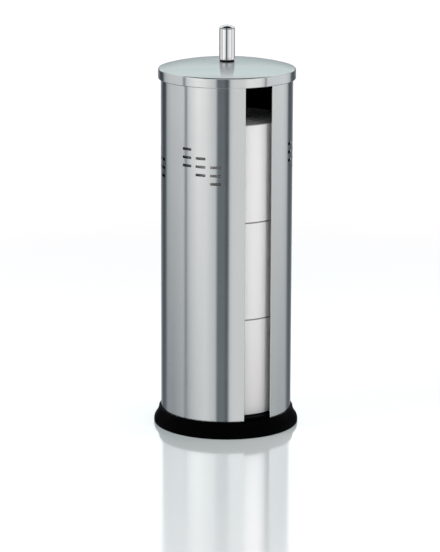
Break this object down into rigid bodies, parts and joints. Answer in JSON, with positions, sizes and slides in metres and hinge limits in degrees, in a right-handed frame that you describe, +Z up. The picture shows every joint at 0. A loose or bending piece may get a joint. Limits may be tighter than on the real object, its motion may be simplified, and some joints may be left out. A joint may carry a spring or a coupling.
{
  "type": "toilet roll holder",
  "caption": "Free-standing store for spare toilet rolls: a slotted steel tube on a flared black base, with a domed lift-off lid, a round knob and rolls stacked inside.",
  "frame": {"origin": "middle of the base's underside, on the surface that it stands on", "axes": "+Z up along the tube's axis, the slot faces -Y"},
  "size_m": [0.1466, 0.1466, 0.4072],
  "materials": {
    "satin_steel": "fine satin brushing round the tube",
    "polished_steel": "bright polish",
    "black_plastic": "moulded, half gloss",
    "zinc_plate": "zinc plated",
    "white_paper": "soft, embossed",
    "grey_cardboard": "spiral wound"
  },
  "bodies": {
    "holder": {"base_moulding": "black_plastic", "body_shell": "satin_steel", "rim_ring": "black_plastic"},
    "lid": {"lid_shell": "satin_steel", "knob_tube": "polished_steel", "knob_end_cap": "polished_steel", "knob_base_plug": "black_plastic", "knob_washer": "zinc_plate", "knob_screw": "zinc_plate"},
    "roll_bottom": {"paper_bottom": "white_paper", "core_bottom": "grey_cardboard"},
    "roll_middle": {"paper_middle": "white_paper", "core_middle": "grey_cardboard"},
    "roll_top": {"paper_top": "white_paper", "core_top": "grey_cardboard"}
  },
  "joints": [
    {"name": "lid_lift", "type": "slide", "parent": "holder", "child": "lid", "axis": [0, 0, 1], "range_m": [0, 0.12]},
    {"name": "bottom_roll_lift", "type": "slide", "parent": "holder", "child": "roll_bottom", "axis": [0, 0, 1], "range_m": [0, 0.016]},
    {"name": "middle_roll_lift", "type": "slide", "parent": "roll_bottom", "child": "roll_middle", "axis": [0, 0, 1], "range_m": [0, 0.016]},
    {"name": "top_roll_lift", "type": "slide", "parent": "roll_middle", "child": "roll_top", "axis": [0, 0, 1], "range_m": [0, 0.016]}
  ]
}
